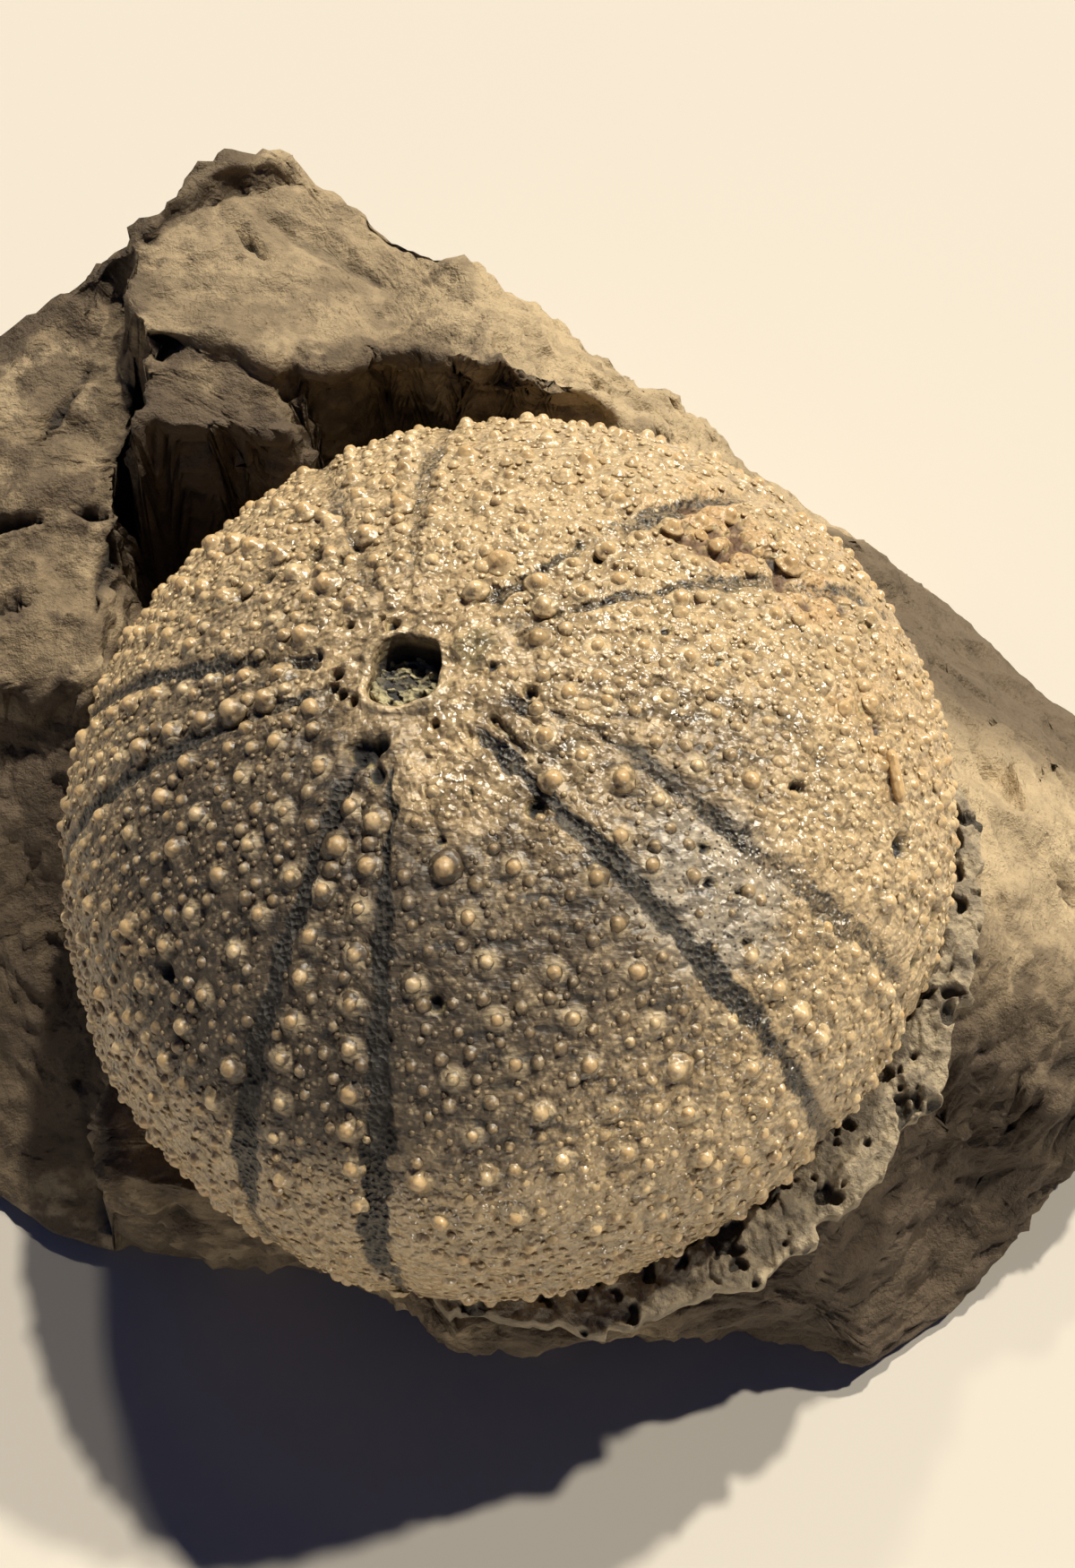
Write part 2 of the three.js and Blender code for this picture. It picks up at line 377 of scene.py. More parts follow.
# hollows: degrees from the crown, degrees round the axis, radius and depth in millimetres
hollows = [
    (10.9, -119, 1.2, 0.9), (9.4, -110, 0.7, 0.8), (13, -105, 0.8, 0.6), (14.4, -16, 0.5, 0.7),
    (9.6, -5, 0.4, 0.5),
    (15.3, -82, 0.3, 0.5), (20.9, -80.6, 0.4, 0.4), (10.8, 135, 0.5, 0.6), (12, 160, 0.45, 0.5),
    (17, 128, 0.5, 0.5),
    (23, -52, 0.9, 1.1), (49, -17, 0.7, 0.9), (48, -139, 0.9, 0.9), (27, 36, 0.55, 0.8),
    (25, 123, 0.95, 0.8), (21, 118, 0.7, 0.7), (29, 143, 0.8, 0.7), (28, 137, 0.75, 0.8),
    (70, -16, 1.0, 0.9), (62, -2, 0.6, 0.6), (66, -7, 0.6, 0.6), (39, -88, 0.7, 0.6),
    (86, -19, 1.1, 1.0), (91, -36, 1.1, 1.0), (91, -68, 0.8, 0.8), (92, -53, 0.8, 0.8), (84, -26, 0.7, 0.7),
    (64, 15, 0.9, 0.7), (51, 26, 1.1, 0.8), (59, 19, 0.8, 0.7), (47, 31, 1.1, 0.6), (55, 31, 0.9, 0.7),
    (44, -38, 0.5, 0.7), (48, -36, 0.45, 0.7), (41, -34, 0.5, 0.6), (53, -41, 0.4, 0.5),
    (30, 9.5, 0.45, 0.5), (36, 2, 0.4, 0.4), (17, -66, 0.3, 0.4), (72, 60, 0.8, 0.7), (80, 12, 0.9, 0.8),
    (8.9, 71, 0.34, 0.9), (6.9, 109, 0.55, 0.9), (8.2, 116, 0.35, 0.6), (8.8, 175, 0.5, 1.0),
    (7.8, -67, 0.34, 0.9), (7.2, -154, 0.42, 1.2), (8.3, -166, 0.38, 1.0), (9.2, -174, 0.38, 0.8),
    (70, 118, 0.8, 0.7), (62, -178, 0.7, 0.6), (88, 150, 0.9, 0.8), (95, -125, 0.7, 0.6),
]
# rusty crusts: degrees from the crown and round the axis, radius in millimetres, strength
crusts = [
    (45, 34, 3.9, 1.0), (55, 19, 3.6, 0.9), (60, 0, 3.2, 0.6), (50, 42, 3.0, 0.6), (72, 26, 9, 0.35),
    (70, 4, 7, 0.3),
]
# long grooves: start and end in degrees from the crown and round the axis, then radius and depth
grooves = [
    (12, -36.5, 17, -41, 0.34, 0.5), (14, -27, 18, -30, 0.2, 0.25),
    (10.5, -50, 24, -66, 0.16, 0.2), (30, -72, 44, -74, 0.16, 0.16), (64, 14, 70, 6, 0.3, 0.5),
]


def ventOutline(angle):
    # a rounded four-cornered hole, wider on the left
    corner = 1 + 0.07 * np.cos(4 * (angle - np.radians(38))) + 0.04 * np.cos(2 * (angle - np.radians(80)))
    ripple = 0.03 * np.cos(3 * angle + 1) + 0.02 * np.cos(7 * angle)
    return test["ventRadius"] * (corner - 0.12 * np.cos(angle) + ripple)


def nearestAmbulacrum(degrees):
    # signed degrees from the nearest ambulacrum's centre, and which one it is
    away = wrapDegrees(degrees[..., None] - bands["ambulacra"])
    which = np.abs(away).argmin(-1)
    return np.take_along_axis(away, which[..., None], -1)[..., 0], which


def spot(points, polar, angle):
    # distance in millimetres from one place on the test, both in degrees
    centre = testPoints(np.radians(float(polar)), np.radians(float(angle)))
    return np.linalg.norm(points - centre, axis=-1)


def testRelief(polar, angle):
    # height of the skin over the smooth shape, in millimetres, and the marks that the finish reads
    points = testPoints(polar, angle)
    fall = np.degrees(polar)
    degrees = np.degrees(angle)
    across = test["radius"] * np.sin(polar)
    away, which = nearestAmbulacrum(degrees)
    wandering, drawnIn = (which == 1) & (away > 0), (which == 0) & (away > 0)
    offset = bands["offset"] + np.where(wandering, blend(*bands["wanders"], ease(15, 50, fall)), 0)
    offset = offset - np.where(drawnIn, bands["drawnIn"] * ease(45, 80, fall), 0)
    ragged = 0.26 * softNoise(points, 4.5, 11) + 0.42 * softNoise(points, 0.8, 12)
    gap = np.abs(np.abs(away) - offset) * np.pi / 180 * across + ragged
    width = blend(bands["crownWidth"], bands["ambitusWidth"], ease(12, 60, fall))
    band = fade(width * 0.55, width * 1.25, gap) * ease(10, 13.5, fall) * fade(112, 128, fall)
    strength = bands["strength"][which] * blend(1, 0.62, ease(66, 90, fall))
    strength *= (0.9 + 0.5 * softNoise(points, 3.5, 13)) * np.where(wandering, bands["faint"], 1)

    # wear: the grey crumbled patch and the rusty crusts
    crumb = fade(0.75, 1.15, spot(points, 46, -39) / 5.2 + 0.35 * softNoise(points, 1.6, 14))
    patchy = 0.45 * softNoise(points, 2.2, 15) + 0.25 * softNoise(points, 0.8, 19)
    stain = np.zeros_like(fall)
    for at, around, radius, share in crusts:
        stain = np.maximum(stain, share * fade(0.5, 1.2, spot(points, at, around) / radius + patchy))
    wild = blend(1, 1.5, ease(-8, 14, points[..., 0] + points[..., 1])) * blend(1.7, 0.8, ease(16, 60, fall))
    # swells, lumps and grain, then what the bands, the crumbled patch and the crusts add
    lift = 0.2 * softNoise(points, 9, 16) + 0.10 * softNoise(points, 3.2, 17)
    lift += wild * (0.07 * softNoise(points, 1.5, 18) + 0.06 * softNoise(points, 0.75, 33))
    lift += 0.14 * wild * (0.5 - chipNoise(points, 1.5, 34)[0])
    lift -= band * bands["depth"] * (0.7 + 0.3 * softNoise(points, 0.9, 20))
    lift += band * 0.1 * softNoise(points, 0.5, 21)
    lift -= crumb * (0.18 + 0.2 * softNoise(points, 0.9, 22))
    gnawed = ease(0.1, 0.5, softNoise(points, 1.3, 40) + 0.3 * softNoise(points, 0.6, 41))
    gnawed = gnawed * ease(0.4, 0.9, stain)
    lift += stain * (0.35 * softNoise(points, 2.4, 23) + 0.28 * softNoise(points, 1.0, 24)) - 0.45 * gnawed

    # plates: fine grooves across the columns, and down the middle of each
    plate = arcAtPolar(polar) / knobs["plateHeight"] + np.where(away > 0, 0.5, 0)
    seam = np.abs(plate - np.round(plate)) * knobs["plateHeight"]
    lift -= 0.07 * fade(0.1, 0.4, seam) * ease(14, 24, fall) * (1 - band)

    # round the vent: a thin smooth rim in front and on the left, a porous lump behind on the right
    ring = fade(9.5, 11.5, fall)
    rim = bell(across - ventOutline(angle), 0.3, 0.34)
    softSide = facing(degrees, -125)
    lift += ring * rim * (0.04 + 0.36 * softSide)
    lens = fade(0.55, 1.1, spot(points, 7.6, 14) / 1.5 + 0.3 * softNoise(points, 0.8, 35))
    lift += lens * (0.45 + 0.2 * softNoise(points, 0.45, 26))
    craggy = fade(12, 19, fall) * (1 - 0.75 * ring * softSide)
    lift += craggy * (0.3 * softNoise(points, 1.1, 25) + 0.14 * softNoise(points, 0.5, 36))

    # hollows and grooves
    pit = 0.75 * gnawed
    for at, around, radius, depth in hollows:
        reach = spot(points, at, around) / radius + 0.22 * softNoise(points, 0.7, 27)
        share = fade(0.35, 1.05, reach)
        lift -= depth * share
        pit = np.maximum(pit, fade(0.3, 0.95, reach))
    for at, around, endAt, endAround, radius, depth in grooves:
        start, end = testPoints(np.radians([at, endAt]), np.radians([around, endAround]))
        along = np.clip(((points - start) @ (end - start)) / ((end - start) @ (end - start)), 0, 1)
        reach = np.linalg.norm(points - start - along[..., None] * (end - start), axis=-1) / radius
        reach = reach + 0.5 * softNoise(points, 0.8, 38)
        lift -= depth * fade(0.3, 1.1, reach)
        pit = np.maximum(pit, 0.6 * depth * fade(0.2, 0.9, reach))

    # fairness: pale behind, on the right and towards the rim; deep brown half-way down on the near left. This is
    # partly the shell's own tone and partly painted light and shade: painted light on the back right, which faces
    # the lamps, and on the front rim; painted shade on the near left, which faces away from the lamps
    nearSide = facing(degrees, -112)
    fair = 0.98 - 1.25 * bell(fall, 30, 17) * facing(degrees, -125) ** 1.8 - 0.25 * fade(12, 24, fall)
    fair -= 0.72 * bell(fall, 52, 12) * nearSide**3
    fair += 0.3 * bell(fall, 50, 18) * facing(degrees, 40) ** 2 + 0.25 * ease(58, 74, fall) * nearSide
    fair -= 0.32 * bell(fall, 42, 28) * facing(degrees, -10) ** 5
    fair += 0.3 * fade(2, 5, spot(points, 15, -72))
    fair += 0.16 * softNoise(points, 6, 28) + 0.12 * softNoise(points, 2.6, 39)
    return lift, {"band": band * strength, "pit": pit, "crumb": crumb, "stain": stain, "fair": fair,
                  "lens": lens, "rim": ring * rim * softSide}


knobs = {
    "plateHeight": 3.1,  # along the meridian, millimetres
    # sizes in millimetres; pale is how pale the tops are, rim is the size beside others near the rim;
    # the profile is (radius, height) pairs in radii, from the tip down into the skin
    "main": {"radius": 0.43, "apart": 4.2, "pale": 1.0, "rim": 0.8, "sides": 11, "seed": 101, "profile": [
        (0, 1.1), (0.45, 1.01), (0.82, 0.7), (1.0, 0.34), (1.18, 0.1), (1.5, -0.1), (1.8, -0.4), (0, -0.6)]},
    "second": {"radius": 0.3, "apart": 1.8, "pale": 0.5, "rim": 1.3, "sides": 8, "seed": 102, "profile": [
        (0, 0.85), (0.55, 0.74), (0.95, 0.36), (1.25, 0.0), (1.5, -0.3), (0, -0.5)]},
    "grain": {"radius": 0.16, "apart": 0.92, "pale": 0.25, "rim": 1.2, "sides": 6, "seed": 103, "profile": [
        (0, 0.7), (0.75, 0.45), (1.3, -0.12), (0, -0.4)]},
    "spread": 0.14,  # how much their sizes differ
    "top": 12.5,  # degrees from the crown: no knobs above this
    "bottom": 128,
}


def zoneList():
    # centre and half width in degrees of the ten bare columns between the pore bands
    centres = bands["ambulacra"]
    after = np.append(centres[1:], centres[0] + 360)
    zones = [(centre, bands["offset"] - 1.8, True) for centre in centres]
    zones += [((a + b) / 2, (b - a) / 2 - bands["offset"] - 1.8, False) for a, b in zip(centres, after)]
    return zones


def layRows(step, apart, firstAcross, rng, jitter, narrowToo=True):
    # rows along the meridian; in each, knobs this far apart to both sides of the column's middle
    found = []
    low, high = arcAtPolar(np.radians([knobs["top"], knobs["bottom"]]))
    for centre, half, narrow in zoneList():
        if narrow and not narrowToo:
            continue
        for side, start in ((-1, 0.0), (1, 0.5)):
            arc = np.arange(low + start * knobs["plateHeight"], high, step)
            across = test["radius"] * np.sin(polarAtArc(arc))
            reach = np.radians(half) * across
            offset = firstAcross + np.arange(16) * apart
            arcs, offsets = np.meshgrid(arc, offset, indexing="ij")
            inside = offsets < (reach[:, None] - 0.25)
            arcs, offsets = arcs[inside], offsets[inside]
            arcs = arcs + rng.normal(0, jitter, len(arcs))
            offsets = offsets + rng.normal(0, jitter, len(arcs))
            polar = polarAtArc(arcs)
            angle = np.radians(centre) + side * offsets / (test["radius"] * np.sin(polar))
            found.append(np.stack([polar, angle], -1))
    return np.concatenate(found)


def clearOf(places, others, distance):
    # the places that keep this distance from all the others
    points = testPoints(places[:, 0], places[:, 1])
    taken = testPoints(others[:, 0], others[:, 1])
    keep = np.ones(len(points), bool)
    for start in range(0, len(points), 500):
        gaps = np.linalg.norm(points[start:start + 500, None] - taken[None], axis=-1)
        keep[start:start + 500] = gaps.min(1) > distance
    return places[keep]


def thinned(places, rng, share):
    # drop a random share, and all but a few where the skin is hollow, eroded or on a pore band
    marks = testRelief(places[:, 0], places[:, 1])[1]
    smooth = fade(3.5, 6.5, spot(testPoints(places[:, 0], places[:, 1]), 15, -70))
    lost = np.maximum.reduce([marks["pit"] * 1.6, marks["crumb"] * 0.75, marks["stain"] * 0.55,
                              marks["band"] * 1.3, smooth * 0.8, np.full(len(places), share)])
    return places[rng.random(len(places)) > lost]


def layKnobs():
    # main knobs down the middle of the wide columns and the edges of the narrow ones, then smaller between
    rng = np.random.default_rng(41)
    height = knobs["plateHeight"]
    wide = layRows(height, knobs["main"]["apart"], 1.9, rng, 0.2, narrowToo=False)
    near = []
    for centre, half, narrow in zoneList()[:5]:
        for side, start in ((-1, 0.0), (1, 0.5)):
            arc = np.arange(*arcAtPolar(np.radians([17, knobs["bottom"]])), 2.65) + start * 1.3
            polar = polarAtArc(arc + rng.normal(0, 0.12, len(arc)))
            angle = np.radians(centre + side * half * 0.62) + rng.normal(0, 0.004, len(arc))
            near.append(np.stack([polar, angle], -1))
    main = thinned(np.concatenate([wide] + near), rng, 0.06)
    second = layRows(height / 2, knobs["second"]["apart"], 0.85, rng, 0.2)
    second = thinned(clearOf(second, main, 1.15), rng, 0.14)
    grain = layRows(height / 3.2, knobs["grain"]["apart"], 0.4, rng, 0.26)
    grain = thinned(clearOf(clearOf(grain, main, 0.85), second, 0.52), rng, 0.2)
    return main, second, grain


def knobMesh(name, places, kind, finish):
    # each knob is a closed turned shape: its profile carried round its axis and stood on the skin
    profile, sides = kind["profile"], kind["sides"]
    rng = np.random.default_rng(kind["seed"])
    count = len(places)
    normals = testNormals(places[:, 0], places[:, 1])
    lift, marksHere = testRelief(places[:, 0], places[:, 1])
    seat = testPoints(places[:, 0], places[:, 1]) + normals * lift[:, None]
    tilt = unit(normals + rng.normal(0, 0.07, (count, 3)))
    first = unit(np.cross(tilt, np.tile([0.3, 1.0, 0.2], (count, 1))))
    second = np.cross(tilt, first)
    fall = np.degrees(places[:, 0])
    leftSide = facing(np.degrees(places[:, 1]), 155) * fade(60, 80, fall)
    rimShare = ease(66, 88, fall)
    size = kind["radius"] * np.exp(rng.normal(0, knobs["spread"], count)) * (1 + 0.22 * leftSide)
    size *= blend(1.0, kind["rim"], rimShare) * blend(1.05, 1, ease(14, 30, fall))
    rings = np.array(profile[1:-1])
    heights = closed(profile[0][1], np.repeat(rings[:, 1], sides), profile[-1][1])
    reaches = closed(0, np.repeat(rings[:, 0], sides), 0)
    turns = closed(0, np.tile(fullTurn(sides), len(rings)), 0)
    lump = 1 + 0.05 * rng.normal(0, 1, (count, len(turns)))
    local = size[:, None, None] * np.stack(np.broadcast_arrays(
        reaches * np.cos(turns) * lump, reaches * np.sin(turns) * lump, heights + 0 * lump), -1)
    points = (seat[:, None] + local[..., :1] * first[:, None] + local[..., 1:2] * second[:, None]
              + local[..., 2:] * tilt[:, None])
    perKnob = len(turns)
    shift = (np.arange(count) * perKnob)[:, None, None]
    faceSets = [(faces + shift).reshape(-1, faces.shape[1]) for faces in ringFaces(len(rings), sides)]
    marks = {
        "tone": np.repeat(rng.random(count), perKnob),
        "top": np.tile(np.clip(heights / profile[0][1], 0, 1), count),
        "fair": np.repeat(marksHere["fair"], perKnob),
        "stain": np.repeat(marksHere["stain"], perKnob),
        "pale": np.repeat(np.clip(kind["pale"] + 0.5 * rimShare + 0.4 * leftSide, 0, 1), perKnob),
    }
    return makePiece(name, points.reshape(-1, 3), faceSets, finish, "sea_urchin_test", marks)


def testRows():
    # polar angles of the rows outside the vent: close near the crown, even to the rim, wide underneath
    spacing = [(2.4, 0.14), (6, 0.2), (10, 0.33), (47, 0.345), (52, 0.7), (60, 1.4), (90, 2.2)]
    at, step = np.array(spacing).T
    fine = np.linspace(at[0], arcTable["length"][-1] - 0.8, 4000)
    count = np.concatenate([[0], np.cumsum(np.diff(fine) / np.interp(fine[1:], at, step))])
    return np.interp(np.arange(0, count[-1]), count, fine)


def buildTest(main, finish):
    # rings: floor and wall of the vent, then the skin from the vent's rim down to the mouth side
    columns = test["columns"]
    angle = fullTurn(columns)
    outline = ventOutline(angle)
    arcs = testRows()
    polar = np.repeat(polarAtArc(arcs)[:, None], columns, 1)
    toRim = np.arcsin(outline / test["radius"])[None]
    share = ease(arcs[0], arcs[0] + 6, arcs)[:, None]
    polar = blend(polar + (toRim - polar[0]), polar, share)
    angles = np.broadcast_to(angle, polar.shape)
    lift, marks = testRelief(polar, angles)
    normals = testNormals(polar, angles)

    # around every main knob: a low boss under it and a shallow ring round it
    halo = np.zeros_like(lift)
    ringed = np.zeros_like(lift)
    rowOf = np.interp(arcAtPolar(main[:, 0]), arcs, np.arange(len(arcs))).round().astype(int)
    columnOf = (main[:, 1] / (2 * np.pi) * columns).round().astype(int)
    reach = np.arange(-8, 9)
    middle = testPoints(main[:, 0], main[:, 1])
    base = testPoints(polar, angles)
    for rowStep, columnStep in itertools.product(reach, reach):
        row = np.clip(rowOf + rowStep, 0, len(arcs) - 1)
        column = (columnOf + columnStep) % columns
        gap = np.linalg.norm(base[row, column] - middle, axis=-1)
        np.maximum.at(halo, (row, column), fade(0.55, 1.0, gap))
        np.maximum.at(ringed, (row, column), bell(gap, 1.05, 0.24))
    lift = lift + test["boss"] * halo - test["areole"] * ringed
    skin = base + normals * lift[..., None]

    # the vent: floor rings, then wall rings up to the rim
    floorShare = np.linspace(0.12, 1, 8)[:, None]
    wallShare = np.linspace(0, 1, 16)[1:-1, None]
    reachIn = np.concatenate([0.82 * floorShare * outline, outline * (0.82 + 0.18 * wallShare**0.7)])
    top = float(test["crown"])
    deepest = top - test["ventDepth"]
    rimHeight = ((skin[0] - test["centre"]) @ leanAxis)[None]
    height = np.concatenate([np.full((8, columns), deepest), blend(deepest, rimHeight - 0.04, wallShare**1.1)])
    inside = fromTestFrame(reachIn * np.cos(angle), reachIn * np.sin(angle), height)
    inside = inside + 0.1 * softNoise(inside, 1.0, 31)[..., None] * leanAxis
    rings = np.concatenate([inside, skin])
    points = closed(test["centre"] + deepest * leanAxis, rings, test["centre"] - test["under"] * leanAxis)
    marks["halo"], marks["ringed"] = np.maximum(halo, marks.pop("rim")), ringed
    # inside the vent: painted shade, a high pit mark and a low fairness darken its wall and floor
    insideMarks = {"pit": 0.75, "fair": 0.4}
    full = {}
    for name, values in marks.items():
        inner = np.full(inside.shape[:2], insideMarks.get(name, 0.0))
        inner[-5:] = blend(inner[-5:], values[0], np.linspace(0.2, 1, 5)[:, None])
        full[name] = closed(0, np.concatenate([inner, values]), 0)
    faceSets = ringFaces(len(rings), columns)
    return makePiece("calcite_test", points, faceSets, finish, "sea_urchin_test", full)


calcite = {
    "deep": colour(0.072, 0.051, 0.029),
    "fair": colour(0.49, 0.355, 0.192),
    "creamy": colour(0.64, 0.50, 0.30),
    "band": colour(0.010, 0.008, 0.006),
    "bandGrain": colour(0.09, 0.072, 0.045),
    "lilac": colour(0.40, 0.35, 0.27),
    "rust": colour(0.50, 0.305, 0.125),
    "brown": colour(0.10, 0.05, 0.022),
    # near black, painted as the shade in pits, grooves and the vent
    "hollow": colour(0.012, 0.010, 0.009),
    "olive": colour(0.19, 0.15, 0.075),
    "silt": colour(0.34, 0.27, 0.12),
    "knob": colour(0.54, 0.37, 0.18),
    "knobPale": colour(0.62, 0.47, 0.265),
    "knobDull": colour(0.34, 0.235, 0.112),
    "glow": {"Subsurface Weight": 0.12, "Subsurface Radius": (1.0, 0.6, 0.3), "Subsurface Scale": 0.001,
             "IOR": 1.6},
}


def mottled(f, fair, blotch, grain):
    # base colour of the shell: deep brown to fair, following the fair mark, which is partly painted light and
    # shade; broken up by blotches and grain, with cream flecks and painted shade where the grain is low
    share = f.between(fair + (blotch - 0.5) * 0.8 + (grain - 0.5) * 0.8, 0.05, 1.0)
    base = f.mix(share, calcite["deep"], calcite["fair"])
    base = f.mix(f.between(grain + fair * 0.12, 0.58, 0.76) * 0.55, base, calcite["creamy"])
    # painted shade: the deep colour laid where the grain is low, as dark crevices between the lumps
    return f.mix((1 - f.between(grain, 0.3, 0.46)) * 0.5, base, calcite["deep"])


def calciteFinish():
    # mottled translucent calcite, glossy where it is fair, with dark speckled pore bands
    f = Finish("calcite_skin")
    band, pit, crumb, stain, fair, halo, ringed, lens = (
        f.mark(name) for name in ("band", "pit", "crumb", "stain", "fair", "halo", "ringed", "lens"))
    blotch = f.noise(3.0, 4)
    grain = f.noise(0.55, 4, 0.65)
    fine = f.noise(0.2, 3, 0.6)
    pores = f.cells(0.4)
    granules = f.cells(0.55)
    streak = f.noise(0.9, 3, 0.6, f.stretched((0.3, 1.1, 1.1), (0, 0, 0)))
    base = f.layers(mottled(f, fair, blotch, grain), calcite, [
        (halo * 0.55, "creamy"),
        # painted shade: the deep colour in the sunken ring round each main knob
        (ringed * 0.45, "deep"),
        (crumb * 0.6, "lilac"),
        (crumb * (1 - f.between(pores + grain * 0.3, 0.28, 0.42)) * 0.9, "band"),
        (stain * f.between(blotch + grain * 0.5, 0.42, 0.85) * 0.8, "rust"),
        (stain * f.between(grain * 0.6 + fine * 0.5, 0.56, 0.68) * 0.85, "brown"),
        (lens * 0.8, "olive"),
        (f.between(pit, 0.02, 0.2) * f.between(grain, 0.45, 0.6) * 0.75, "silt"),
        ((1 - f.between(granules, 0.1, 0.4)) * 0.3, "creamy"),
        (f.between(streak, 0.5, 0.66) * (0.8 - f.between(fair, 0.2, 1.1) * 0.55), "band"),
    ])
    bandGrain = f.mix(f.between(fair, 0.0, 0.9) * 0.8 + 0.2, calcite["band"], calcite["bandGrain"])
    speckle = f.mix(f.between(fine * 0.7 + pores * 0.8, 0.6, 0.9), calcite["band"], bandGrain)
    base = f.mix(f.between(band + (grain - 0.5) * 1.1 + (fine - 0.5) * 0.8, 0.2, 0.75), base, speckle)
    # painted shade: pits, grooves and the vent's inside turn near black, as the shade in these hollows; in the
    # rusty crusts they turn a dark rust brown
    base = f.mix(f.between(pit, 0.15, 0.85), base, f.mix(stain, calcite["hollow"], calcite["brown"]))
    dull = 1 - f.between(fair, 0.1, 0.9)
    rough = 0.15 + f.between(blotch, 0.4, 0.65) * 0.2 + stain * 0.25 + pit * 0.4 + band * 0.2 + dull * 0.4
    creases = f.maths("ABSOLUTE", f.noise(0.75, 1) - 0.5, 0)
    height = f.facets(0.42, 0.45) - creases * 0.48 - granules * granules * 0.18 + f.noise(0.25, 0) * 0.05
    height = height * (1 - dull * 0.55) + band * pores * 0.3 - streak * dull * 0.25
    return f.finished({"Base Color": base, "Roughness": rough, "Normal": f.bump(height), **calcite["glow"]})


def knobFinish():
    # cream knobs, the colour of the shell at the foot, some dull and some pale
    f = Finish("knob_cream")
    tone, top, fair, stain, pale = (f.mark(name) for name in ("tone", "top", "fair", "stain", "pale"))
    grain = f.noise(0.5, 4, 0.65)
    cream = f.mix(f.between(tone, 0.5, 1.0), calcite["knob"], calcite["knobPale"])
    cream = f.mix((1 - f.between(tone, 0.0, 0.35)) * 0.8, cream, calcite["knobDull"])
    # painted shade: knobs turn deep brown where the shell is dark, as the shaded knobs on the near left
    cream = f.mix((1 - f.between(fair, 0.0, 0.8)) * (1.3 - pale) * 0.9, cream, calcite["deep"])
    foot = mottled(f, fair, f.noise(3.0, 4), grain)
    base = f.mix(f.between(top + (grain - 0.5) * 0.7, 0.15, 0.85) * pale, foot, cream)
    base = f.mix(stain * 0.5, base, calcite["rust"])
    height = f.facets(0.3, 0.35) + f.noise(0.4, 0) * 0.08
    rough = 0.14 + grain * 0.2 + (1 - f.between(fair, 0.1, 0.9)) * 0.25
    return f.finished({"Base Color": base, "Roughness": rough, "Normal": f.bump(height), **calcite["glow"]})


block = {
    # facets: a place on each, and how fast it falls towards +x and +y
    "slab": {"x": -22, "y": 45, "z": 36.6, "fallX": 0.10, "fallY": 0.03},
    "ridge": {"x": -10, "y": 45, "z": 35.2, "fallX": -0.24, "fallY": 0.10},
    "peak": {"x": -13, "y": 46.3, "z": 37.2, "fallX": 0.10, "fallY": 0.25},
    "back": {"x": 33, "y": 5, "z": 26, "fallX": 0.865, "fallY": 0.52},
    "side": {"x": 33, "y": 5, "z": 26, "fallX": 0.9, "fallY": -0.10},
    "shelf": {"x": -33, "y": 15, "z": 24.8, "fallX": 0, "fallY": -0.27},
    "shelfBack": {"x": -30, "y": 42, "z": 33.6, "fallX": -0.34, "fallY": -0.05},
    "step": {"x": -20, "y": 35.5, "z": 35.2, "fallX": 0.05, "fallY": -0.2},
    "leftFloor": {"x": -35, "y": -10, "z": 4.5, "fallX": -0.12, "fallY": -0.7},
    # lines seen from above, as (x, y) or (y, x) pairs
    "slabEdge": [(-60, 31), (-28, 38.9), (-17, 36.2), (-9, 38.8), (-5, 38), (3, 34.4), (8, 33.2), (14, 33.8),
                 (20, 36.5), (26, 40), (60, 47)],
    "slabSide": [(0, -28), (46, -28.4), (70, -33)],
    "frontRidge": [(14, -22), (20, -19), (24, -15.5), (30.6, -8.5), (41, -10.5), (60, -12)],
    "frontFall": [(0, 1), (5, 0.78), (6.6, 0.5), (9.5, 0.36), (14, 0.1), (40, 0.05)],  # share of height kept
    "crestFoot": [(-43, 41.5), (-37, 42.8), (-31, 44.6), (-27, 47.2), (-24, 50.6), (-21.3, 52.4),
                  (-18.8, 53.8), (-16, 55)],
    "crestTop": [(-43, 27.5), (-37, 31), (-31, 35.6), (-27, 37.6), (-24, 38.8), (-21.3, 39),
                 (-18.7, 37.6), (-16, 36.2)],  # height of the crest
    "shelfFront": 15.6,
    "seatBehind": 17,  # heights of the seat under the test
    "seatInFront": 14.5,
    "lowestRim": 2.2,
    "middle": (0, 12),  # where the rays to the rim start
    "columns": 500,
    # dents: place seen from above, half length, half width and turn in degrees, then depth
    "dents": [(-13.5, 47.6, 8.5, 1.8, -32, 0.6), (-29.5, 23.5, 4.5, 1.0, 80, 2.2), (-36, 20.5, 2.6, 0.7, 15, 1.4),
              (-19.2, 47.6, 2.3, 0.9, -50, 2.0), (-37.5, 27.0, 5, 0.9, 6, 2.4), (-30.8, 27.8, 2.6, 0.8, -14, 1.9),
              (-28.6, 31, 7.5, 0.6, 82, 1.3), (-34, 36, 5, 0.6, 60, 1.2), (-25.5, 37.2, 2.2, 0.9, 0, 1.6),
              (41, 1, 3.2, 0.8, -35, 0.9), (36, 9, 4, 0.7, -62, 0.6), (-41, -2, 4, 1.4, -30, 2.2)],
}
